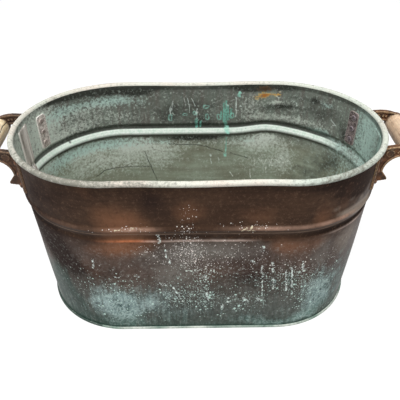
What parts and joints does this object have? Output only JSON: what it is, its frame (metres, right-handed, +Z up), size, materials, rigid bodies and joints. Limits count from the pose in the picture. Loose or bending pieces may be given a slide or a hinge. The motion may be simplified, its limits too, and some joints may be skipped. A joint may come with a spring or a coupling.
{
  "type": "washing tub",
  "caption": "Oval copper wash boiler with a rolled rim, a swaged tapering wall and a flat folded bottom, carried by turned wooden grips on riveted iron brackets.",
  "frame": {"origin": "middle of the flat bottom, on the ground", "axes": "+Z up out of the open top, +X along the length towards the right grip, +Y to the back"},
  "size_m": [0.655, 0.308, 0.295],
  "materials": {
    "copper": "aged copper sheet with brown patina and verdigris",
    "iron_wire": "rusted iron wire",
    "solder": "dull tin and lead solder",
    "iron": "rust brown cast iron",
    "tinned_plate": "tinned iron plate, dull and stained",
    "rivet_iron": "rusted rivet heads",
    "grip_wood": "bare turned hardwood, worn smooth"
  },
  "bodies": {
    "tub": {"front_sheet": "copper", "back_sheet": "copper", "bottom_sheet": "copper", "rim_wire": "iron_wire", "left_seam_solder": "solder", "right_seam_solder": "solder", "left_front_bracket": "iron", "left_back_bracket": "iron", "right_front_bracket": "iron", "right_back_bracket": "iron", "left_front_plate": "tinned_plate", "left_back_plate": "tinned_plate", "right_front_plate": "tinned_plate", "right_back_plate": "tinned_plate", "left_front_rivets": "rivet_iron", "left_back_rivets": "rivet_iron", "right_front_rivets": "rivet_iron", "right_back_rivets": "rivet_iron", "left_grip_rod": "iron_wire", "right_grip_rod": "iron_wire"},
    "left_handle": {"left_grip": "grip_wood"},
    "right_handle": {"right_grip": "grip_wood"}
  },
  "joints": [
    {"name": "left_grip_spin", "type": "hinge", "parent": "tub", "child": "left_handle", "pos_m": [-0.311, 0, 0.266], "axis": [0, 1, 0], "continuous": true},
    {"name": "right_grip_spin", "type": "hinge", "parent": "tub", "child": "right_handle", "pos_m": [0.311, 0, 0.266], "axis": [0, 1, 0], "continuous": true}
  ]
}
